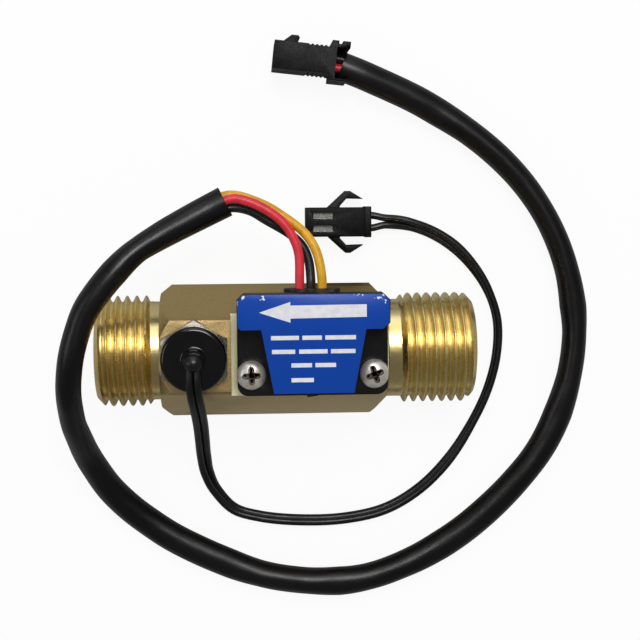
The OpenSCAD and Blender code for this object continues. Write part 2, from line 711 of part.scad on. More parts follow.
module probe_connector() {
    color([0.12, 0.12, 0.13]) translate(con2_pos) difference() {
        union() {
            translate([0, -con2_w / 2, 0]) cube([con2_len, con2_w, con2_t]);
            translate([con2_len - 1.3, -con2_w / 2 - 0.15, 0]) cube([1.3, con2_w + 0.3, con2_t + 0.15]);
            for (side = [0, 1]) mirror([0, side, 0]) wing();
        }
        contact_channels(contact_t + 2 * fit, contact_x - 2 * fit, con2_len);
        contact_channels(1.1, -eps, 1);
        for (side = [-1, 1]) translate([1.5, side * contact_pitch / 2 - 0.6, con2_t / 2])
            cube([3.9, 1.2, con2_t]);
    }
}

module probe_contacts() {
    color([0.82, 0.82, 0.8]) translate(con2_pos) difference() {
        contact_channels(contact_t, contact_x, contact_len);
        contact_channels(contact_hollow, contact_x - eps, contact_mouth_len);
    }
}

body();
outlet_spider();
rotor();
rotor_magnets();
rotor_shaft();
inlet_spider();
retaining_ring();
hall_housing();
potting_seal();
hall_board();
hall_chip();
lead_tails();
wire_grommet();
label();
screw_left();
screw_right();
probe_nut();
probe_o_ring();
probe_sheath();
probe_thermistor();
probe_cap();
red_wire();
black_wire();
yellow_wire();
sleeve();
output_connector();
output_pins();
probe_cable();
probe_connector();
probe_contacts();
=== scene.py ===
import math

import bmesh
import bpy
from mathutils import Matrix, Vector


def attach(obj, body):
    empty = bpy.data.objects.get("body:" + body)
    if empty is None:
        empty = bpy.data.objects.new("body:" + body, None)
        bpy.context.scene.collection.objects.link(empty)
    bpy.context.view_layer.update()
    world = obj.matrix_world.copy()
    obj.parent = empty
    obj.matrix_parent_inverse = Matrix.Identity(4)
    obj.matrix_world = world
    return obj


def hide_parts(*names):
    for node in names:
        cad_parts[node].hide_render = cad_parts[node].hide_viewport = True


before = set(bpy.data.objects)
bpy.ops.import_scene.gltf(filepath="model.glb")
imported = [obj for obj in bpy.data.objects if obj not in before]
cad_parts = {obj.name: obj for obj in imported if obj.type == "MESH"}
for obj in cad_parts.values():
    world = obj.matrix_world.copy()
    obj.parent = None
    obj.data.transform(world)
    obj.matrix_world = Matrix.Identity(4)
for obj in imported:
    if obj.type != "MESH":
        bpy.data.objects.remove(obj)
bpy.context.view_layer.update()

scene = bpy.context.scene
mm = 0.001

# The view. A long lens held a quarter of a metre over the bench looks almost straight down on
# the sensor, which lies on the back flat of its hexagon with the housing and the probe upwards.
view_turn = (
    Matrix.Rotation(math.radians(0.40), 3, "Z")
    @ Matrix.Rotation(math.radians(5.3), 3, "X")
    @ Matrix.Rotation(math.radians(3.28), 3, "Y")
).transposed()
look_at = Vector((6.655, 5.42, 11)) * mm
camera = bpy.data.objects.new("bench_camera", bpy.data.cameras.new("bench_camera"))
camera.data.lens = 74.4
camera.data.clip_start = 0.01
camera.matrix_world = (
    Matrix.Translation(look_at + view_turn @ Vector((0, 0, 253.05 * mm))) @ view_turn.to_4x4()
)
scene.collection.objects.link(camera)
scene.camera = camera


# The black sleeve over the three output wires: a length of soft tube, 5.7 mm across. It leaves
# the wires 15 mm from the housing, drops to the bench at the outlet end, swings round the whole
# sensor and stops at the three-way connector. It stands on edge wherever a bend has squeezed it.
def smooth_line(points, step):
    """An even, smooth line through route points that are given in millimetres"""
    p = [Vector(q) * mm for q in points]
    p = [2 * p[0] - p[1]] + p + [2 * p[-1] - p[-2]]
    dense = []
    for a, b, c, d in zip(p, p[1:], p[2:], p[3:]):
        t1 = (b - a).length ** 0.5
        t2 = t1 + (c - b).length ** 0.5
        t3 = t2 + (d - c).length ** 0.5
        for k in range(24):
            t = t1 + (t2 - t1) * k / 24
            ab = a.lerp(b, t / t1)
            bc = b.lerp(c, (t - t1) / (t2 - t1))
            cd = c.lerp(d, (t - t2) / (t3 - t2))
            dense.append(ab.lerp(bc, t / t2).lerp(bc.lerp(cd, (t - t1) / (t3 - t1)), (t - t1) / (t2 - t1)))
    dense.append(p[-2])
    reach = [0.0]
    for a, b in zip(dense, dense[1:]):
        reach.append(reach[-1] + (b - a).length)
    count = max(2, round(reach[-1] / step))
    line, k = [], 0
    for i in range(count + 1):
        want = reach[-1] * i / count
        while k < len(reach) - 2 and reach[k + 1] < want:
            k += 1
        line.append(dense[k].lerp(dense[k + 1], (want - reach[k]) / (reach[k + 1] - reach[k])))
    return line


def line_length(line):
    return sum((b - a).length for a, b in zip(line, line[1:]))


def value_along(table, run):
    """Reads a table of (distance, value) pairs, both in millimetres, at a distance in metres"""
    at = run / mm
    for (a, low), (b, high) in zip(table, table[1:]):
        if at <= b:
            return low + (high - low) * max(0.0, at - a) / (b - a)
    return table[-1][1]


def places_along(line, size):
    """Where a unit ring goes at each point of a line. size(distance) is its half width, half height, step aside and lift"""
    places, run = [], 0.0
    for i, p in enumerate(line):
        t = (line[min(i + 1, len(line) - 1)] - line[max(i - 1, 0)]).normalized()
        run += (p - line[i - 1]).length if i else 0.0
        side = t.cross(Vector((0, 0, 1))).normalized()
        up = side.cross(t)
        half_w, half_h, aside, lift = size(run)
        turn = Matrix((side * half_w, up * half_h, t * half_w)).transposed()
        places.append((Matrix.Translation(p + aside * side + lift * up) @ turn.to_4x4(), run))
    return places


def draw_tube(bm, line, size, sides):
    """Draws a ring along a line, and gives the edges of its first and last ring"""
    laid = bm.verts.layers.float_vector.get("laid") or bm.verts.layers.float_vector.new("laid")
    places = places_along(line, size)
    ring = bmesh.ops.create_circle(bm, segments=sides, radius=1)["verts"]
    across = size(0)[0]
    for v in ring:
        v[laid] = Vector((v.co.x * across, v.co.y * across, 0))
    bmesh.ops.transform(bm, matrix=places[0][0], verts=ring)
    first = edges = list({e for v in ring for e in v.link_edges})
    for (before, _), (here, run) in zip(places, places[1:]):
        made = bmesh.ops.extrude_edge_only(bm, edges=edges)["geom"]
        ring = {g for g in made if isinstance(g, bmesh.types.BMVert)}
        edges = [g for g in made if isinstance(g, bmesh.types.BMEdge) and set(g.verts) <= ring]
        bmesh.ops.transform(bm, matrix=here @ before.inverted(), verts=list(ring))
        for v in ring:
            v[laid] = Vector((v[laid].x, v[laid].y, run))
    return first, edges


def finish_piece(bm, name, finish, stands_for=(), body="sensor", crease=35):
    """Turns a bmesh into a piece that rides on a body, smooth but for creases sharper than that angle"""
    mesh = bpy.data.meshes.new(name)
    bm.to_mesh(mesh)
    bm.free()
    for face in mesh.polygons:
        face.use_smooth = True
    mesh.set_sharp_from_angle(angle=math.radians(crease))
    mesh.materials.append(finish)
    piece = bpy.data.objects.new(name, mesh)
    scene.collection.objects.link(piece)
    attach(piece, body)
    if stands_for:
        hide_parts(*stands_for)
    return piece


def tint(code):
    """A colour written as it looks, such as a0b0c0, in Blender's own linear values"""
    parts = [int(code[i : i + 2], 16) / 255 for i in (0, 2, 4)]
    return [c / 12.92 if c <= 0.04045 else ((c + 0.055) / 1.055) ** 2.4 for c in parts] + [1.0]


def part_wear():
    """The effect that every finish shares: soft patches, and a fine grain, at the sizes it is given"""
    group = bpy.data.node_groups.new("handling_wear", "ShaderNodeTree")
    for name, kind in (("Vector", "Vector"), ("Patch Scale", "Float"), ("Grain Scale", "Float")):
        group.interface.new_socket(name, in_out="INPUT", socket_type="NodeSocket" + kind)
    for name in ("Patches", "Grain"):
        group.interface.new_socket(name, in_out="OUTPUT", socket_type="NodeSocketFloat")
    inlet = group.nodes.new("NodeGroupInput")
    outlet = group.nodes.new("NodeGroupOutput")
    for name, detail, low, high in (("Patch", 3, 0.38, 0.66), ("Grain", 5, 0.25, 0.75)):
        noise = group.nodes.new("ShaderNodeTexNoise")
        noise.inputs["Detail"].default_value = detail
        spread = group.nodes.new("ShaderNodeMapRange")
        spread.inputs["From Min"].default_value = low
        spread.inputs["From Max"].default_value = high
        group.links.new(inlet.outputs["Vector"], noise.inputs["Vector"])
        group.links.new(inlet.outputs[name + " Scale"], noise.inputs["Scale"])
        group.links.new(noise.outputs["Fac"], spread.inputs["Value"])
        group.links.new(spread.outputs["Result"], outlet.inputs["Patches" if name == "Patch" else name])
    return group


wear = part_wear()


def make_finish(name, clean, worn, rough, bump=0.02, patch=180, grain=3500, laid=False, stretch=(1, 1, 1), **fixed):
    """A finish whose colour goes from clean to worn in patches, rough is its lowest and highest roughness, and bump the
    depth of its grain in millimetres. stretch squeezes the pattern along an axis, laid makes it follow a cord, and fixed
    holds the values that are the same all over."""
    finish = bpy.data.materials.new(name)
    finish.use_nodes = True
    tree = finish.node_tree
    shader = tree.nodes["Principled BSDF"]
    for socket, value in fixed.items():
        shader.inputs[socket.replace("_", " ")].default_value = value
    if laid:
        where = tree.nodes.new("ShaderNodeAttribute")
        where.attribute_name = "laid"
        start = where.outputs["Vector"]
    else:
        where = tree.nodes.new("ShaderNodeTexCoord")
        start = where.outputs["Object"]
    mapping = tree.nodes.new("ShaderNodeMapping")
    mapping.inputs["Scale"].default_value = stretch
    effect = tree.nodes.new("ShaderNodeGroup")
    effect.node_tree = wear
    effect.inputs["Patch Scale"].default_value = patch
    effect.inputs["Grain Scale"].default_value = grain
    tree.links.new(start, mapping.inputs["Vector"])
    tree.links.new(mapping.outputs["Vector"], effect.inputs["Vector"])
    colour = tree.nodes.new("ShaderNodeMix")
    colour.name = "colour"
    colour.data_type = "RGBA"
    colour.inputs[6].default_value = tint(clean)
    colour.inputs[7].default_value = tint(worn)
    tree.links.new(effect.outputs["Patches"], colour.inputs[0])
    tree.links.new(colour.outputs[2], shader.inputs["Base Color"])
    gloss = tree.nodes.new("ShaderNodeMapRange")
    gloss.name = "gloss"
    gloss.inputs["To Min"].default_value = rough[0]
    gloss.inputs["To Max"].default_value = rough[1]
    tree.links.new(effect.outputs["Grain"], gloss.inputs["Value"])
    tree.links.new(gloss.outputs["Result"], shader.inputs["Roughness"])
    relief = tree.nodes.new("ShaderNodeBump")
    relief.name = "relief"
    relief.inputs["Strength"].default_value = 1.0
    relief.inputs["Distance"].default_value = bump * mm
    tree.links.new(effect.outputs["Grain"], relief.inputs["Height"])
    tree.links.new(relief.outputs["Normal"], shader.inputs["Normal"])
    return finish


sleeve_route = [
    (-11, 28.15, 20.4), (-13.3, 27, 20.4), (-18.2, 24.5, 20.7), (-23.2, 21.8, 21.2), (-27.6, 19, 22),
    (-31.2, 15.5, 23), (-34.2, 11.9, 23.4), (-36.3, 8.8, 23.5), (-37.8, 5.1, 23.6), (-39.1, 0.4, 23.5),
    (-39.8, -4.3, 22.4), (-40, -7.1, 21), (-40, -10, 18.8), (-39.8, -13.2, 16.2), (-39.2, -16.2, 13.4),
    (-38.4, -19.6, 10.2), (-37.2, -22.7, 7.9), (-34.4, -27.9, 5), (-30.6, -32.2, 3.6), (-26.8, -35.4, 3),
    (-22.8, -38.2, 2.9), (-17.9, -40.9, 2.9), (-12.8, -43.3, 2.9), (-7.9, -45.3, 2.9), (-2.8, -46.8, 2.9),
    (2.6, -47.7, 2.9), (8, -48.1, 2.9), (13.1, -47.9, 2.9), (18.1, -46.9, 2.9), (23.2, -45.1, 2.9),
    (28.2, -42.8, 2.9), (35, -38.6, 2.9), (41.2, -33.5, 2.9), (46.4, -28.2, 2.9), (50.9, -22.5, 2.9),
    (53.9, -16.9, 2.9), (56.1, -10.8, 2.9), (57.5, -4.5, 2.9), (58, 2, 2.9), (57.5, 8.2, 2.9),
    (56.3, 14.2, 2.9), (54.2, 20.2, 2.9), (51.2, 26, 2.9), (47.2, 31.6, 2.9), (42.3, 36.7, 2.9),
    (36.7, 41.2, 3), (30.6, 45.1, 3.2), (25.9, 47.7, 3.6), (21.1, 49.9, 4.1), (18.3, 51.1, 4.4),
    (15.7, 52.2, 4.7), (13.7, 53, 4.8), (11.5, 53.85, 4.8),
]
sleeve_line = smooth_line(sleeve_route, 0.8 * mm)
sleeve_len = line_length(sleeve_line)
# The tube's width seen from above, by the distance from its mouth, all in millimetres
sleeve_widths = [(0, 5.7), (6, 5.5), (12, 5.15), (18, 4.6), (24, 5.1), (30, 5.0), (36, 4.75), (50, 4.65),
    (57, 4.7), (68, 5.2), (80, 5.6), (98, 5.85), (106, 5.8), (112, 5.3), (122, 5.3), (128, 5.75),
    (134, 5.35), (141, 5.4), (150, 5.85), (162, 5.8), (174, 5.55), (186, 5.75), (194, 4.9), (203, 4.75),
    (208, 5.3), (215, 4.75), (228, 4.65), (242, 5.0), (250, 5.1), (257, 5.55), (275, 5.6)]


def sleeve_size(run):
    width = value_along(sleeve_widths, run)
    return width / 2 * mm, min(2.75, 5.4 - width / 2) * mm, 0.0, 0.0


bm = bmesh.new()
mouth, end = draw_tube(bm, sleeve_line, sleeve_size, 32)
for bore in (sleeve_line[:14], sleeve_line[:-5:-1]):
    lip, floor_ring = draw_tube(bm, bore, lambda run: (2.3 * mm, 2.2 * mm, 0.0, 0.0), 32)
    bmesh.ops.bridge_loops(bm, edges=(mouth if bore[0] == sleeve_line[0] else end) + lip)
    bmesh.ops.holes_fill(bm, edges=floor_ring, sides=0)
bmesh.ops.recalc_face_normals(bm, faces=bm.faces)
sleeve_finish = make_finish("soft_black_tube", "060405", "110d0e", (0.26, 0.4), bump=0.03, patch=120, grain=900,
    laid=True, stretch=(1, 1, 0.25), Specular_IOR_Level=0.45)
sleeve = finish_piece(bm, "output_sleeve", sleeve_finish, ["sleeve"])


# The three output wires, red, black and yellow, 1.7 mm across: stranded copper in soft insulation.
# They leave the rubber grommet square to the housing, curve towards the outlet and run into the
# mouth of the sleeve, which holds them for the rest of their way.
wire_r = 0.85 * mm
wire_routes = {
    "red": [(2.35, 12.3, 21.9), (2.35, 13.8, 21.9), (2.2, 18.8, 21.8), (0.9, 22.2, 21.7), (-0.9, 24.6, 21.6),
        (-3.6, 26.6, 21.5), (-6.8, 28.1, 21.4), (-10, 28.6, 21.3), (-15, 26.1, 21.3), (-18.6, 24.3, 21.6)],
    "black": [(4.4, 12.3, 21.9), (4.4, 13.8, 21.9), (4.1, 17.2, 20.6), (3.1, 19.8, 19.4), (1, 21.9, 18.9),
        (-3.6, 24.7, 18.8), (-6.8, 26.5, 19.1), (-10.4, 26.95, 19.6), (-14.5, 25.1, 19.65), (-18.15, 23.4, 19.95)],
    "yellow": [(6.45, 12.3, 21.9), (6.45, 13.8, 21.9), (5.9, 17.5, 21.6), (4.9, 20.2, 21), (3.1, 22.6, 20.2),
        (-0.8, 25.6, 19.4), (-4.4, 27.7, 19.3), (-10.4, 29.3, 19.6), (-15.4, 27, 19.65), (-19, 25.2, 19.95)],
}
wire_colours = {"red": ("e02c3c", "c82636"), "black": ("141416", "1d1c1e"), "yellow": ("e0a90e", "c8940a")}
wire_finishes = {}
for name, route in wire_routes.items():
    wire_line = smooth_line(route, 0.5 * mm)
    bm = bmesh.new()
    first, last = draw_tube(bm, wire_line, lambda run: (wire_r, wire_r, 0.0, 0.0), 20)
    bmesh.ops.holes_fill(bm, edges=first + last, sides=0)
    bmesh.ops.recalc_face_normals(bm, faces=bm.faces)
    clean, worn = wire_colours[name]
    wire_finishes[name] = make_finish(name + "_wire_skin", clean, worn, (0.3, 0.45), bump=0.01, patch=500,
        grain=2500, laid=True, Specular_IOR_Level=0.5)
    wire = finish_piece(bm, name + "_output_wire", wire_finishes[name], [name + "_wire"])


# The probe's flat cable: two black cores side by side in one skin, 2.9 mm wide and 160 mm long.
# It leaves the potted hump over the probe, drops to the bench, turns on edge round the inlet and
# comes back to the two-way connector, where it lies flat again and its cores part.
core_r = 0.72 * mm
cable_route = [
    (-16.964, -1.6, 29.2), (-16.964, -4, 29.2), (-16.76, -6.5, 28.3), (-16.36, -9.2, 25.9),
    (-16.06, -12.8, 21), (-15.96, -16.4, 16), (-15.86, -20.6, 10.5), (-15.36, -25, 5.7),
    (-13.8, -29.2, 2.3), (-10.3, -33.2, 1.4), (-5, -34.9, 1.4), (3, -35.8, 1.4), (12, -35.6, 1.4),
    (20.2, -33.8, 1.4), (27.2, -29.7, 1.4), (33.1, -23.7, 1.4), (37.6, -16.7, 1.4), (40.8, -9.9, 1.4),
    (42.6, -2.8, 1.4), (42.7, 4.1, 1.4), (40.9, 9.9, 1.4), (37.9, 14.8, 1.4), (34, 18.9, 1.4),
    (29.4, 21.8, 1.4), (24.4, 23.5, 1.8), (20.2, 23.95, 2.3), (17.2, 23.95, 2.3),
]
cable_line = smooth_line(cable_route, 0.7 * mm)
cable_len = line_length(cable_line)
# How far the flat cable has turned on edge, in degrees, by the distance from the hump in millimetres
cable_turns = [(0, 0), (18, 10), (30, 20), (40, 52), (48, 66), (92, 68), (102, 85), (128, 85), (136, 60), (141, 42),
    (150, 40), (154, 8), (160, 0)]


def core_size(side):
    def size(run):
        parting = max(0.0, 1 - (cable_len - run) / (3.2 * mm))
        apart = side * (0.7 + 0.55 * parting * parting * (3 - 2 * parting)) * mm
        turned = math.radians(value_along(cable_turns, run))
        return core_r, core_r, apart * math.cos(turned), apart * math.sin(turned)
    return size


bm = bmesh.new()
for side in (-1, 1):
    first, last = draw_tube(bm, cable_line, core_size(side), 18)
    bmesh.ops.holes_fill(bm, edges=first + last, sides=0)
bmesh.ops.recalc_face_normals(bm, faces=bm.faces)
cable_finish = make_finish("flat_cable_skin", "0c0b0d", "161518", (0.26, 0.4), bump=0.01, patch=300, grain=1800,
    laid=True, stretch=(1, 1, 0.3), Specular_IOR_Level=0.5)
cable = finish_piece(bm, "flat_probe_cable", cable_finish, ["probe_cable"])


# The body: one length of hexagonal brass bar, drilled right through, with a pipe thread cut on each end. The hexagon
# keeps the fine lines of the drawn bar and its lower side carries a painted reflection of the bench, the front flat is
# milled and blasted dull, and the seat under the housing is milled bright and painted paler still, as a painted
# reflection.
axis = Vector((0, 0, 11 * mm))
pitch = 1.814
crest_r, root_r, rim_r = 10.4775, 9.3165, 9.0165
half_pitch_form = [(0.907, 0.0), (0.76, 0.02), (0.67, 0.1), (0.58, 0.26), (0.30, 0.86), (0.22, 1.0), (0.14, 1.1), (0.05, 1.161)]
thread_form = [(-x, r) for x, r in half_pitch_form] + [(x, r) for x, r in reversed(half_pitch_form)]


def cut_thread(bm, end_x, hex_x, crest_x, neck_x, mouth_r):
    """A threaded end from its face at end_x to the hexagon, as a closed tube. crest_x is a crest on the upper side, neck_x where
    the thread runs out"""
    way = 1 if hex_x > end_x else -1
    low, high = min(end_x, hex_x), max(end_x, hex_x)
    start = crest_x - pitch * (math.ceil((crest_x - low) / pitch) + 1)
    turns = math.ceil((high - start) / pitch) + 1
    steps = 120
    verts = [bm.verts.new(((start + x) * mm, 0, axis.z + (root_r + r) * mm)) for x, r in thread_form]
    edges = [bm.edges.new(pair) for pair in zip(verts, verts[1:])]
    bmesh.ops.spin(bm, geom=verts + edges, cent=axis, axis=(1, 0, 0), dvec=(pitch * mm / steps, 0, 0),
        angle=turns * 2 * math.pi, steps=turns * steps, use_merge=False, use_duplicate=False)
    bmesh.ops.remove_doubles(bm, verts=bm.verts, dist=0.004 * mm)
    for edge_x, side in ((low, -1), (high, 1)):
        bmesh.ops.bisect_plane(bm, geom=bm.verts[:] + bm.edges[:] + bm.faces[:], dist=1e-8,
            plane_co=(edge_x * mm, 0, 0), plane_no=(side, 0, 0), clear_outer=True)
    for v in bm.verts:
        x = v.co.x / mm
        arm = Vector((0, v.co.y, v.co.z - axis.z))
        most = min(rim_r + 1.1 * way * (x - end_x), root_r + 1.4 * max(0.0, way * (neck_x - x)))
        if arm.length > most * mm:
            v.co = Vector((v.co.x, 0, axis.z)) + arm.normalized() * most * mm
    rims = {x: [e for e in bm.edges if e.is_boundary and all(abs(v.co.x / mm - x) < 0.01 for v in e.verts)]
        for x in (low, high)}
    edges = rims[end_x]
    for ring_x, ring_r in ((end_x, mouth_r + 0.5), (end_x + way * 0.5, mouth_r), (hex_x, mouth_r)):
        made = bmesh.ops.extrude_edge_only(bm, edges=edges)["geom"]
        ring = {g for g in made if isinstance(g, bmesh.types.BMVert)}
        edges = [g for g in made if isinstance(g, bmesh.types.BMEdge) and set(g.verts) <= ring]
        for v in ring:
            arm = Vector((0, v.co.y, v.co.z - axis.z)).normalized()
            v.co = Vector((ring_x * mm, 0, axis.z)) + arm * ring_r * mm
    bmesh.ops.triangle_fill(bm, use_beauty=True, edges=edges + rims[hex_x], normal=(way, 0, 0))
    bmesh.ops.recalc_face_normals(bm, faces=bm.faces)


def merged_copy(node):
    """A copy of a CAD node's mesh, with its loose corners joined and its flat faces whole"""
    copy = bmesh.new()
    copy.from_mesh(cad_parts[node].data)
    bmesh.ops.remove_doubles(copy, verts=copy.verts, dist=0.0005 * mm)
    bmesh.ops.dissolve_limit(copy, angle_limit=math.radians(0.3), verts=copy.verts, edges=copy.edges)
    return copy


def break_edges(bm, width, sharper_than=40, chosen=None):
    """Rounds the edges that are sharper than an angle, as a file or a mould does"""
    edges = [e for e in bm.edges if e.is_manifold and abs(e.calc_face_angle(0)) > math.radians(sharper_than)
        and (chosen is None or chosen(e))]
    bmesh.ops.bevel(bm, geom=edges, offset=width * mm, offset_type="OFFSET", segments=2, profile=0.5,
        affect="EDGES", clamp_overlap=True, material=-1)


hex_x0, hex_x1 = -23.464, 19.036
bm = merged_copy("body")
for cut_x, side in ((hex_x0 - 0.02, -1), (hex_x1 + 0.02, 1)):
    bmesh.ops.bisect_plane(bm, geom=bm.verts[:] + bm.edges[:] + bm.faces[:], dist=1e-8,
        plane_co=(cut_x * mm, 0, 0), plane_no=(side, 0, 0), clear_outer=True)
    cut = [e for e in bm.edges if e.is_boundary]
    bmesh.ops.triangle_fill(bm, use_beauty=True, edges=cut, normal=(side, 0, 0))
hexagon = bpy.data.meshes.new("hexagon")
break_edges(bm, 0.12)
bm.to_mesh(hexagon)
bm.free()
body_bm = bmesh.new()
body_bm.from_mesh(hexagon)
for ends in ((-35.4755, hex_x0 + 0.02, -33.0755, -25.064, 6.3), (35.4755, hex_x1 - 0.02, 33.0755, 21.436, 7.4)):
    bm = bmesh.new()
    cut_thread(bm, *ends)
    bm.to_mesh(hexagon)
    bm.free()
    body_bm.from_mesh(hexagon)
bpy.data.meshes.remove(hexagon)

brass_finish = make_finish("turned_brass", "f5e2a4", "ecd08c", (0.25, 0.33), bump=0.0004, patch=120, grain=1500,
    stretch=(0.5, 1.2, 1.2), Metallic=1.0)
tree = brass_finish.node_tree
shader = tree.nodes["Principled BSDF"]
where = tree.nodes.new("ShaderNodeTexCoord")
split = tree.nodes.new("ShaderNodeSeparateXYZ")
tree.links.new(where.outputs["Object"], split.inputs["Vector"])


def brass_zone(axis_name, middle, reach):
    """A mask that is 1 where a coordinate is within reach of a middle, in millimetres"""
    zone = tree.nodes.new("ShaderNodeMath")
    zone.operation = "COMPARE"
    zone.inputs[1].default_value = middle * mm
    zone.inputs[2].default_value = reach * mm
    tree.links.new(split.outputs[axis_name], zone.inputs[0])
    return zone.outputs[0]


pits = tree.nodes.new("ShaderNodeTexNoise")
pits.inputs["Scale"].default_value = 2600
pits.inputs["Detail"].default_value = 4
tree.links.new(where.outputs["Object"], pits.inputs["Vector"])



def where_both(one, other):
    """A mask that is 1 where two masks are"""
    both = tree.nodes.new("ShaderNodeMath")
    both.operation = "MULTIPLY"
    tree.links.new(one, both.inputs[0])
    tree.links.new(other, both.inputs[1])
    return both.outputs[0]


above = brass_zone("Z", 22.5, 1.0)
on_hexagon = brass_zone("X", -2.214, 21.25)
finish_of = tree.nodes["colour"].outputs[2]
gloss_of = tree.nodes["gloss"].outputs["Result"]
metal_of = None
# The hexagon's drawn skin, its lower side painted paler as a painted reflection of the bright bench, the blasted front
# flat and the seat, milled bright and painted paler still as a painted reflection, each have two tones, a roughness and
# a metal share
for zone, tones, its_gloss, its_metal in (
    (on_hexagon, ("b89e66", "d6be86"), 0.36, 1.0),
    # Painted reflection: the hexagon's lower side gets paler tones than the rest of the bar, standing in for the bright
    # bench that it mirrors
    (where_both(on_hexagon, brass_zone("Y", -10.9, 3.65)), ("d2b984", "e6d2a2"), 0.4, 0.8),
    (above, ("8f7236", "efd59c"), 0.5, 0.75),
    # The seat is milled bright brass; its pale cream colour without metal share is painted reflection, also painted
    # light against the shadow of the housing
    (where_both(brass_zone("Z", 19.8, 0.02), brass_zone("X", 4.3, 14.6)), ("f3eab4", "fbf6d2"), 0.45, 0.0),
):
    shade = tree.nodes.new("ShaderNodeMix")
    shade.data_type = "RGBA"
    shade.inputs[6].default_value = tint(tones[0])
    shade.inputs[7].default_value = tint(tones[1])
    tree.links.new(pits.outputs["Fac"], shade.inputs[0])
    colour = tree.nodes.new("ShaderNodeMix")
    colour.data_type = "RGBA"
    tree.links.new(zone, colour.inputs[0])
    tree.links.new(finish_of, colour.inputs[6])
    tree.links.new(shade.outputs[2], colour.inputs[7])
    finish_of = colour.outputs[2]
    matt = tree.nodes.new("ShaderNodeMix")
    matt.inputs[3].default_value = its_gloss
    tree.links.new(zone, matt.inputs[0])
    tree.links.new(gloss_of, matt.inputs[2])
    gloss_of = matt.outputs[0]
    metal = tree.nodes.new("ShaderNodeMix")
    metal.inputs[2].default_value = 1.0
    metal.inputs[3].default_value = its_metal
    tree.links.new(zone, metal.inputs[0])
    if metal_of:
        tree.links.new(metal_of, metal.inputs[2])
    metal_of = metal.outputs[0]
tree.links.new(finish_of, shader.inputs["Base Color"])
tree.links.new(gloss_of, shader.inputs["Roughness"])
tree.links.new(metal_of, shader.inputs["Metallic"])
pitted = tree.nodes.new("ShaderNodeMath")
pitted.operation = "MULTIPLY"
tree.links.new(above, pitted.inputs[0])
tree.links.new(pits.outputs["Fac"], pitted.inputs[1])
blast = tree.nodes.new("ShaderNodeBump")
blast.inputs["Distance"].default_value = 0.05 * mm
tree.links.new(pitted.outputs[0], blast.inputs["Height"])
tree.links.new(tree.nodes["relief"].outputs["Normal"], blast.inputs["Normal"])
tree.links.new(blast.outputs["Normal"], shader.inputs["Normal"])
brass_body = finish_piece(body_bm, "threaded_brass_body", brass_finish, ["body"], crease=32)


# The flow cartridge in the bore: two moulded carriers hold a steel shaft between their hubs, and
# the rotor with its helical vanes and two magnets turns on it. A sprung steel ring snaps into a
# groove behind the inlet carrier and keeps them all in.
def dress_node(node, finish):
    """Gives a CAD node a finish in place of its plain colour"""
    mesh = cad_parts[node].data
    mesh.materials.clear()
    mesh.materials.append(finish)


carrier_finish = make_finish("ivory_acetal", "e2e0d2", "d3d0bf", (0.38, 0.5), bump=0.006, patch=300, grain=5000)
vane_finish = make_finish("dark_moulded_rotor", "2f3742", "3a4350", (0.3, 0.42), bump=0.006, patch=300, grain=5000)
magnet_finish = make_finish("sintered_magnet", "3a393c", "4a484a", (0.35, 0.6), bump=0.02, patch=700, grain=7000,
    Metallic=0.7)
steel_finish = make_finish("ground_steel", "b9b9b8", "a3a3a3", (0.16, 0.3), bump=0.004, patch=400, grain=4000,
    stretch=(0.1, 1.5, 1.5), Metallic=1.0)
dress_node("outlet_spider", carrier_finish)
dress_node("inlet_spider", carrier_finish)
dress_node("rotor", vane_finish)
dress_node("rotor_magnets", magnet_finish)
dress_node("rotor_shaft", steel_finish)
dress_node("retaining_ring", steel_finish)


# The sensor housing: one black moulding with a thin foot, two screwed ears and a raised block
# that carries the label. It is screwed into the brass seat, right over the rotor's magnets.
housing_finish = make_finish("black_moulded_housing", "0b0a0b", "141314", (0.34, 0.5), bump=0.012, patch=260,
    grain=4200, Specular_IOR_Level=0.4)
bm = merged_copy("hall_housing")
break_edges(bm, 0.22, chosen=lambda e: min(v.co.z for v in e.verts) > 19.9 * mm)
# The stub of the moulding's gate stands out of its lower wall
gate = bmesh.ops.create_cube(bm, size=1 * mm)["verts"]
bmesh.ops.transform(bm, verts=gate, matrix=Matrix.Translation((4.3 * mm, -6.35 * mm, 26.9 * mm))
    @ Matrix.Rotation(0.12, 4, "Z") @ Matrix.Diagonal((2.1, 1.0, 1.2, 1)))
gate_edges = [e for e in bm.edges if set(e.verts) <= set(gate)]
bmesh.ops.bevel(bm, geom=gate_edges, offset=0.15 * mm, segments=2, profile=0.5, affect="EDGES", material=-1)
finish_piece(bm, "moulded_housing", housing_finish, ["hall_housing"])


# Inside the housing: a small green board with the magnet-sensing chip under it, three soldered
# wire tails, and a flat pour of potting that shuts the bottom of the cavity.
board_finish = make_finish("green_board", "1f6a38", "185a2e", (0.3, 0.42), bump=0.005, patch=900, grain=5000)
chip_finish = make_finish("chip_epoxy", "1a1a1b", "262626", (0.45, 0.6), bump=0.008, patch=900, grain=9000)
potting_finish = make_finish("dark_potting", "26221e", "302b26", (0.2, 0.35), bump=0.02, patch=500, grain=1200)
tail_finish = make_finish("wire_tail_skins", "cf2f42", "b82838", (0.3, 0.45), bump=0.01, patch=500, grain=2500)
tree = tail_finish.node_tree
where = tree.nodes.new("ShaderNodeTexCoord")
split = tree.nodes.new("ShaderNodeSeparateXYZ")
tree.links.new(where.outputs["Object"], split.inputs["Vector"])
under = tree.nodes["colour"].outputs[2]
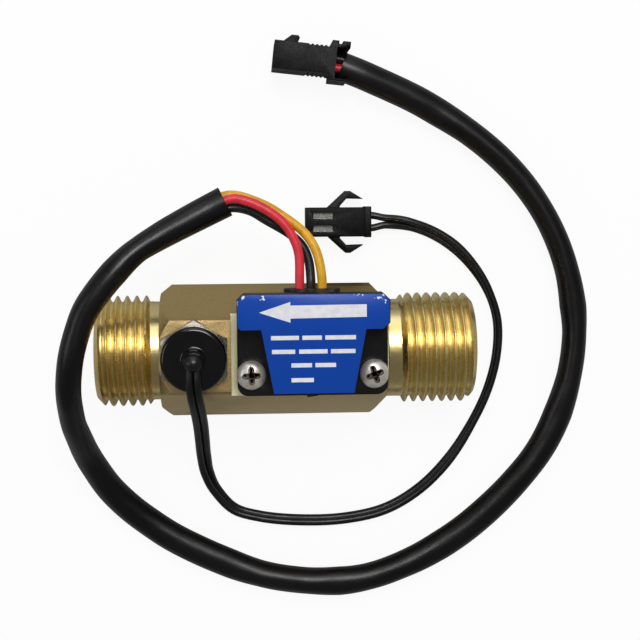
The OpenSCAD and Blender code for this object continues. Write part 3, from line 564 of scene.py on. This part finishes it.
# The tails lie side by side: red, then black from 3.4 mm and yellow from 5.4 mm
for from_x, colour in ((3.4, "232325"), (5.4, "cfa012")):
    past = tree.nodes.new("ShaderNodeMath")
    past.operation = "GREATER_THAN"
    past.inputs[1].default_value = from_x * mm
    tree.links.new(split.outputs["X"], past.inputs[0])
    swap = tree.nodes.new("ShaderNodeMix")
    swap.data_type = "RGBA"
    swap.inputs[7].default_value = tint(colour)
    tree.links.new(past.outputs[0], swap.inputs[0])
    tree.links.new(under, swap.inputs[6])
    under = swap.outputs[2]
tree.links.new(under, tree.nodes["Principled BSDF"].inputs["Base Color"])
dress_node("hall_board", board_finish)
dress_node("hall_chip", chip_finish)
dress_node("potting_seal", potting_finish)
dress_node("lead_tails", tail_finish)


# The wire grommet: a black rubber plug with a flanged oval lip, pressed into the slot in the
# housing's upper wall. Its lip is dusty and a little chewed where the wires leave.
rubber_finish = make_finish("dusty_rubber", "141313", "453a31", (0.5, 0.75), bump=0.05, patch=900, grain=2600,
    Specular_IOR_Level=0.3)
bm = merged_copy("wire_grommet")
break_edges(bm, 0.25, chosen=lambda e: min(v.co.y for v in e.verts) > 11.2 * mm)
finish_piece(bm, "rubber_grommet", rubber_finish, ["wire_grommet"])


# The label: a blue printed film stuck on the block's T-shaped top, with a bold white arrow that
# points the way of the flow and rows of plain bars under it. Its upper corners are scuffed.
film_finish = make_finish("blue_label_film", "0342a6", "0440a2", (0.3, 0.34), bump=0.0005, patch=120, grain=1500,
    Specular_IOR_Level=0.3)
tree = film_finish.node_tree
where = tree.nodes.new("ShaderNodeTexCoord")
flecks = tree.nodes.new("ShaderNodeTexNoise")
flecks.inputs["Scale"].default_value = 1700
flecks.inputs["Detail"].default_value = 3
tree.links.new(where.outputs["Object"], flecks.inputs["Vector"])
under = tree.nodes["colour"].outputs[2]
# White scuffs: the middle of each, in millimetres, and how far its flecks reach
for spot, reach in (((-8.4, 11.3, 28.1), 4.4), ((17.2, 11.2, 28.1), 4.8), ((12.4, 11.9, 28.1), 3.4), ((-4.5, 10.9, 28.1), 1.8)):
    away = tree.nodes.new("ShaderNodeVectorMath")
    away.operation = "DISTANCE"
    away.inputs[1].default_value = [c * mm for c in spot]
    tree.links.new(where.outputs["Object"], away.inputs[0])
    near = tree.nodes.new("ShaderNodeMapRange")
    near.inputs["From Max"].default_value = reach * mm
    near.inputs["To Min"].default_value = 0.14
    near.inputs["To Max"].default_value = -0.4
    tree.links.new(away.outputs["Value"], near.inputs["Value"])
    reached = tree.nodes.new("ShaderNodeMath")
    tree.links.new(near.outputs["Result"], reached.inputs[0])
    tree.links.new(flecks.outputs["Fac"], reached.inputs[1])
    worn_through = tree.nodes.new("ShaderNodeMapRange")
    worn_through.inputs["From Min"].default_value = 0.6
    worn_through.inputs["From Max"].default_value = 0.66
    tree.links.new(reached.outputs[0], worn_through.inputs["Value"])
    scuffed = tree.nodes.new("ShaderNodeMix")
    scuffed.data_type = "RGBA"
    scuffed.inputs[7].default_value = tint("dfe6ee")
    tree.links.new(worn_through.outputs["Result"], scuffed.inputs[0])
    tree.links.new(under, scuffed.inputs[6])
    under = scuffed.outputs[2]
tree.links.new(under, tree.nodes["Principled BSDF"].inputs["Base Color"])
ink_finish = make_finish("white_ink", "e6e6ea", "d8d9e0", (0.35, 0.5), bump=0.004, patch=900, grain=2500)
bm = merged_copy("label")
break_edges(bm, 0.05, chosen=lambda e: min(v.co.z for v in e.verts) > 28.1 * mm)
finish_piece(bm, "label_film", film_finish, ["label"])
ink_z = 28.15


def print_shape(bm, corners):
    """A flat shape of ink, 0.02 mm thick, on the label. The corners go round against the clock, in millimetres"""
    verts = [bm.verts.new((x * mm, y * mm, ink_z * mm)) for x, y in corners]
    face = bm.faces.new(verts)
    made = bmesh.ops.extrude_face_region(bm, geom=[face])["geom"]
    bmesh.ops.translate(bm, vec=(0, 0, 0.02 * mm), verts=[g for g in made if isinstance(g, bmesh.types.BMVert)])


bm = bmesh.new()
print_shape(bm, [(-5.2, 8.43), (0.4, 6.6), (0.4, 7.33), (14.05, 7.5), (14.05, 9.75), (0.4, 9.66), (0.4, 10.3)])
# Rows of bars: the height of the row's middle, and the ends of each bar
bar_rows = [
    (3.86, [(-3.1, 1.9), (2.5, 6.0), (6.6, 12.1)]),
    (1.38, [(-2.95, 1.2), (1.9, 7.0), (7.6, 12.0)]),
    (-1.08, [(0.5, 4.2), (4.8, 8.5)]),
    (-3.75, [(0.5, 4.5)]),
]
for y, bars in bar_rows:
    for x0, x1 in bars:
        print_shape(bm, [(x0, y - 0.38), (x1, y - 0.38), (x1, y + 0.38), (x0, y + 0.38)])
bmesh.ops.recalc_face_normals(bm, faces=bm.faces)
finish_piece(bm, "printed_arrow_and_bars", ink_finish)


# The two housing screws: pan heads of nickelled steel with a cross recess, driven through the
# ears into the brass. Dirt has gathered in the recesses.
def carve(bm, cutter):
    """Cuts one closed shape out of another"""
    blanks = []
    for shape in (bm, cutter):
        mesh = bpy.data.meshes.new("blank")
        shape.to_mesh(mesh)
        shape.free()
        blanks.append(bpy.data.objects.new("blank", mesh))
        scene.collection.objects.link(blanks[-1])
    cut = blanks[0].modifiers.new("cut", "BOOLEAN")
    cut.object = blanks[1]
    cut.solver = "EXACT"
    cut.use_self = True
    carved = bmesh.new()
    carved.from_object(blanks[0], bpy.context.evaluated_depsgraph_get())
    for blank in blanks:
        mesh = blank.data
        bpy.data.objects.remove(blank)
        bpy.data.meshes.remove(mesh)
    return carved


screw_finish = make_finish("nickelled_screw", "f2eee8", "cfc8bc", (0.28, 0.4), bump=0.002, patch=500, grain=3000,
    Metallic=0.7)
dirt_finish = make_finish("recess_dirt", "5a4c3c", "9c8b74", (0.5, 0.8), bump=0.03, patch=1400, grain=5000,
    Specular_IOR_Level=0.3)
screw_y, ear_z, head_r = -3.3, 23.6, 2.7
head_form = [(0, 1.9), (0.8, 1.87), (1.5, 1.77), (2.0, 1.57), (2.35, 1.27), (2.6, 0.85), (2.7, 0.45), (2.7, 0.12), (2.6, 0),
    (1.2, 0), (1.2, -5.18), (1.0, -5.38), (0, -5.38)]
for name, screw_x, turn in (("left", -6.614, 3), ("right", 15.786, 20)):
    bm = bmesh.new()
    verts = [bm.verts.new((r * mm, 0, z * mm)) for r, z in head_form]
    edges = [bm.edges.new(pair) for pair in zip(verts, verts[1:])]
    bmesh.ops.spin(bm, geom=verts + edges, cent=(0, 0, 0), axis=(0, 0, 1), angle=2 * math.pi, steps=64, use_merge=True,
        use_duplicate=False)
    bmesh.ops.remove_doubles(bm, verts=bm.verts, dist=0.001 * mm)
    bmesh.ops.recalc_face_normals(bm, faces=bm.faces)
    cross = bmesh.new()
    for quarter in (0, 90):
        arm = bmesh.ops.create_cube(cross, size=1 * mm)["verts"]
        bmesh.ops.transform(cross, verts=arm, matrix=Matrix.Rotation(math.radians(turn + quarter), 4, "Z")
            @ Matrix.Translation((0, 0, 2 * mm)) @ Matrix.Diagonal((4.3, 1.35, 2.2, 1)))
        for v in arm:
            if v.co.z < 1 * mm:
                v.co = Vector((v.co.x * 0.66, v.co.y * 0.66, v.co.z))
        upright = [e for e in cross.edges if set(e.verts) <= set(arm) and abs(e.verts[0].co.z - e.verts[1].co.z) > 1 * mm]
        bmesh.ops.bevel(cross, geom=upright, offset=0.45 * mm, segments=3, profile=0.5, affect="EDGES", material=-1)
    bmesh.ops.recalc_face_normals(cross, faces=cross.faces)
    bm = carve(bm, cross)
    for face in bm.faces:
        middle = face.calc_center_median()
        if middle.z > 0.5 * mm and middle.xy.length < 2.2 * mm and (face.normal.z < 0.6 or middle.z < 1 * mm):
            face.material_index = 1
    bmesh.ops.translate(bm, vec=Vector((screw_x, screw_y, ear_z)) * mm, verts=bm.verts)
    screw = finish_piece(bm, name + "_housing_screw", screw_finish, ["screw_" + name])
    screw.data.materials.append(dirt_finish)


# The probe: a nickelled nut on a rubber ring closes the hole, its thin sheath reaches into the
# water with the thermistor in its tip, and glossy black potting fills the cup in the nut.
nut_finish = make_finish("nickelled_nut", "cfcabd", "b3ab98", (0.2, 0.38), bump=0.01, patch=400, grain=2500, Metallic=1.0)
sheath_finish = make_finish("drawn_steel_sheath", "c4c4c2", "adadab", (0.15, 0.28), bump=0.004, patch=400,
    grain=4000, stretch=(1.5, 1.5, 0.1), Metallic=1.0)
bead_finish = make_finish("thermistor_bead", "53301f", "3e2317", (0.25, 0.4), bump=0.01, patch=900, grain=4000)
ring_finish = make_finish("black_ring_rubber", "161616", "202020", (0.5, 0.65), bump=0.01, patch=500, grain=5000)
cap_finish = make_finish("glossy_potting", "040304", "080607", (0.08, 0.16), bump=0.01, patch=300, grain=700,
    Specular_IOR_Level=0.6)
bm = merged_copy("probe_nut")
break_edges(bm, 0.12, chosen=lambda e: min(v.co.z for v in e.verts) > 21.7 * mm)
finish_piece(bm, "probe_hex_nut", nut_finish, ["probe_nut"])
dress_node("probe_o_ring", ring_finish)
dress_node("probe_sheath", sheath_finish)
dress_node("probe_thermistor", bead_finish)
probe_x = -16.964
# From its middle: the collar round the cable with a fillet at its foot, the flat pour, its round rim over the nut
dome = [(0, 28.5), (1.85, 28.5), (2.0, 28.35), (2.0, 28.1)]
dome += [(2.5 - 0.5 * math.cos(a), 28.1 - 0.5 * math.sin(a)) for a in (0.4, 0.8, 1.1, 1.35, math.pi / 2)]
dome += [(5.2 + 0.78 * math.sin(a), 26.82 + 0.78 * math.cos(a)) for a in (0, 0.15, 0.3, 0.5, 0.75, 1.0, 1.3, math.pi / 2)]
dome += [(5.98, 26.31), (5.72, 26.31), (5.72, 24.72), (0, 24.72)]
bm = bmesh.new()
verts = [bm.verts.new(((probe_x + r) * mm, 0, z * mm)) for r, z in dome]
edges = [bm.edges.new(pair) for pair in zip(verts, verts[1:])]
bmesh.ops.spin(bm, geom=verts + edges, cent=(probe_x * mm, 0, 0), axis=(0, 0, 1), angle=2 * math.pi, steps=96,
    use_merge=True, use_duplicate=False)
bmesh.ops.remove_doubles(bm, verts=bm.verts, dist=0.001 * mm)
bmesh.ops.recalc_face_normals(bm, faces=bm.faces)
finish_piece(bm, "potted_dome", cap_finish, ["probe_cap"])
bm = bmesh.new()
bmesh.ops.create_uvsphere(bm, u_segments=48, v_segments=24, radius=1)
bmesh.ops.transform(bm, verts=bm.verts, matrix=Matrix.Translation((probe_x * mm, -0.35 * mm, 28.9 * mm))
    @ Matrix.Diagonal((1.95 * mm, 1.75 * mm, 1.9 * mm, 1)))
finish_piece(bm, "cable_hump", cable_finish)


# The output connector: a black three-way moulding on the end of the sleeve, with a latch hook on
# one side and a ribbed grip before its rear flange. Three square tinned pins stand in its mouth.
connector_finish = make_finish("black_connector_moulding", "080708", "121112", (0.36, 0.54), bump=0.015, patch=700,
    grain=4000, Specular_IOR_Level=0.2)
tin_finish = make_finish("tinned_contact", "cfcfca", "b5b5b0", (0.15, 0.3), bump=0.006, patch=900, grain=5000, Metallic=1.0)
bm = merged_copy("output_connector")
break_edges(bm, 0.12)
# The sleeve and the wires run into a pocket between the two ears at its rear
pocket = bmesh.new()
bmesh.ops.create_cube(pocket, size=1 * mm)
bmesh.ops.transform(pocket, verts=pocket.verts, matrix=Matrix.Translation((12.0 * mm, 53.95 * mm, 5.6 * mm))
    @ Matrix.Rotation(math.radians(-6.2), 4, "Z") @ Matrix.Diagonal((3.8, 5.9, 9, 1)))
bm = carve(bm, pocket)
finish_piece(bm, "three_way_connector", connector_finish, ["output_connector"])
bm = merged_copy("output_pins")
bmesh.ops.bisect_plane(bm, geom=bm.verts[:] + bm.edges[:] + bm.faces[:], dist=1e-8, plane_co=(9.73 * mm, 54.61 * mm, 0),
    plane_no=(0.994, -0.108, 0), clear_outer=True)
bmesh.ops.holes_fill(bm, edges=[e for e in bm.edges if e.is_boundary], sides=0)
finish_piece(bm, "tinned_pins", tin_finish, ["output_pins"])
for name, aside, lift in (("black", 1.3, 0.4), ("yellow", 0.4, -1.3), ("red", -0.45, 0.3)):
    bm = bmesh.new()
    wire_end = [Vector((x, y + aside, 4.8 + lift)) * mm for x, y in ((12.8, 53.4), (11.5, 53.85), (9.9, 54.1))]
    first, last = draw_tube(bm, wire_end, lambda run: (wire_r, wire_r, 0.0, 0.0), 20)
    bmesh.ops.holes_fill(bm, edges=first + last, sides=0)
    bmesh.ops.recalc_face_normals(bm, faces=bm.faces)
    finish_piece(bm, name + "_wire_end", wire_finishes[name])


# The probe's connector: a black two-way plug with a barbed spring wing on each side. The tinned
# contacts show through its two windows.
bm = merged_copy("probe_connector")
break_edges(bm, 0.1)
finish_piece(bm, "two_way_connector", connector_finish, ["probe_connector"])
dress_node("probe_contacts", tin_finish)


# The bench: a plain white sheet that keeps a soft shadow and looks dim in what mirrors it. The
# light is one soft lamp high above the top of the picture, a wide weak one lower on that side and
# a weak one from the left.
floor_bm = bmesh.new()
bmesh.ops.create_grid(floor_bm, x_segments=1, y_segments=1, size=3)
floor_mesh = bpy.data.meshes.new("bench")
floor_bm.to_mesh(floor_mesh)
floor_bm.free()
floor = bpy.data.objects.new("bench", floor_mesh)
scene.collection.objects.link(floor)
paper = bpy.data.materials.new("white_paper")
paper.use_nodes = True
tree = paper.node_tree
sheet = tree.nodes["Principled BSDF"]
sheet.inputs["Roughness"].default_value = 0.9
glow = tree.nodes.new("ShaderNodeEmission")
glow.inputs["Strength"].default_value = 1.0
rays = tree.nodes.new("ShaderNodeLightPath")
tone = tree.nodes.new("ShaderNodeMix")
tone.data_type = "RGBA"
tone.inputs[6].default_value = (0.92, 0.92, 0.92, 1)
tone.inputs[7].default_value = (0.4, 0.4, 0.4, 1)
tree.links.new(rays.outputs["Is Glossy Ray"], tone.inputs[0])
tree.links.new(tone.outputs[2], sheet.inputs["Base Color"])
share = tree.nodes.new("ShaderNodeMath")
share.operation = "MULTIPLY"
share.inputs[1].default_value = 0.92
tree.links.new(rays.outputs["Is Camera Ray"], share.inputs[0])
blend = tree.nodes.new("ShaderNodeMixShader")
tree.links.new(share.outputs[0], blend.inputs[0])
tree.links.new(sheet.outputs[0], blend.inputs[1])
tree.links.new(glow.outputs[0], blend.inputs[2])
tree.links.new(blend.outputs[0], tree.nodes["Material Output"].inputs["Surface"])
floor_mesh.materials.append(paper)


def hang_lamp(name, place, across, share_of_light):
    """A square soft lamp that gives its share of the level at which a colour renders as written"""
    lamp = bpy.data.objects.new(name, bpy.data.lights.new(name, "AREA"))
    reach = (Vector(place) - look_at).length
    lamp.data.size = across
    lamp.data.energy = share_of_light * (math.pi * reach) ** 2
    lamp.location = place
    lamp.rotation_euler = (Vector(place) - look_at).to_track_quat("Z", "Y").to_euler()
    scene.collection.objects.link(lamp)


hang_lamp("key_lamp", (0.03, 0.225, 0.5), 0.2, 0.42)
hang_lamp("back_lamp", (0.0, 0.55, 0.3), 0.5, 0.24)
hang_lamp("side_lamp", (-0.5, 0.05, 0.4), 0.3, 0.1)
world = bpy.data.worlds.new("studio_air")
scene.world = world
world.use_nodes = True
tree = world.node_tree
tree.nodes["Background"].inputs["Color"].default_value = (1, 1, 1, 1)
# Shiny things mirror a dimmer room than the one that lights the dull ones
rays = tree.nodes.new("ShaderNodeLightPath")
room = tree.nodes.new("ShaderNodeMapRange")
room.inputs["To Min"].default_value = 0.42
room.inputs["To Max"].default_value = 0.14
tree.links.new(rays.outputs["Is Glossy Ray"], room.inputs["Value"])
seen = tree.nodes.new("ShaderNodeMix")
seen.inputs[3].default_value = 1.0
tree.links.new(rays.outputs["Is Camera Ray"], seen.inputs[0])
tree.links.new(room.outputs["Result"], seen.inputs[2])
tree.links.new(seen.outputs[0], tree.nodes["Background"].inputs["Strength"])
scene.view_settings.view_transform = "Standard"
